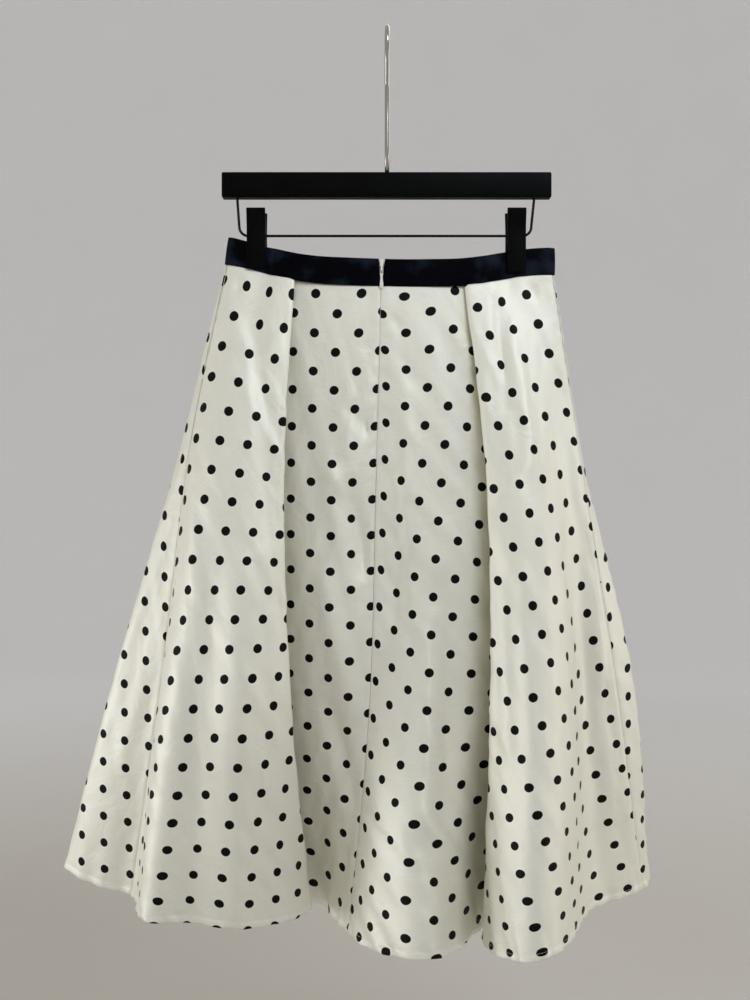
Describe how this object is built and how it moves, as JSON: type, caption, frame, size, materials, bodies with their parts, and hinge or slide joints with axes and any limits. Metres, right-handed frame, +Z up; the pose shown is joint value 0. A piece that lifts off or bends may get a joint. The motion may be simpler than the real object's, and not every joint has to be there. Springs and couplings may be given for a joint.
{
  "type": "a-line skirt on a clip hanger",
  "caption": "Flared midi skirt of dotted satin with pleats, a dark waistband and a centre-back zip, hanging from a bar hanger with a wire loop and clips.",
  "frame": {"origin": "underside of the hook's crown, where the hanger rests on a rail", "axes": "+Z up, -Y out of the shown side (the skirt's back, with the zip), +X to the viewer's right"},
  "size_m": [0.6381, 0.2522, 0.9425],
  "materials": {
    "cloth": "ivory satin with black dots, soft sheen",
    "band": "near-black satin",
    "tape": "woven zip tape",
    "zip_metal": "cream enamel",
    "black_plastic": "matt black",
    "hook_steel": "polished steel wire",
    "black_wire": "black coated wire"
  },
  "bodies": {
    "skirt": {"skirt_front": "cloth", "skirt_back_left": "cloth", "skirt_back_right": "cloth", "waistband": "band", "zip_tape": "tape", "zip_slider": "zip_metal", "hanger_bar": "black_plastic", "hanger_hook": "hook_steel", "hanger_wire": "black_wire", "clip_left_front": "black_plastic", "clip_left_rear": "black_plastic", "clip_left_hub": "black_plastic", "clip_right_front": "black_plastic", "clip_right_rear": "black_plastic", "clip_right_hub": "black_plastic"},
    "pull": {"zip_pull": "zip_metal"}
  },
  "joints": [
    {"name": "pull_swing", "type": "hinge", "parent": "skirt", "child": "pull", "pos_m": [-0.0058, -0.0135, -0.253], "axis": [-1, 0, 0], "range_deg": [0, 150]}
  ]
}
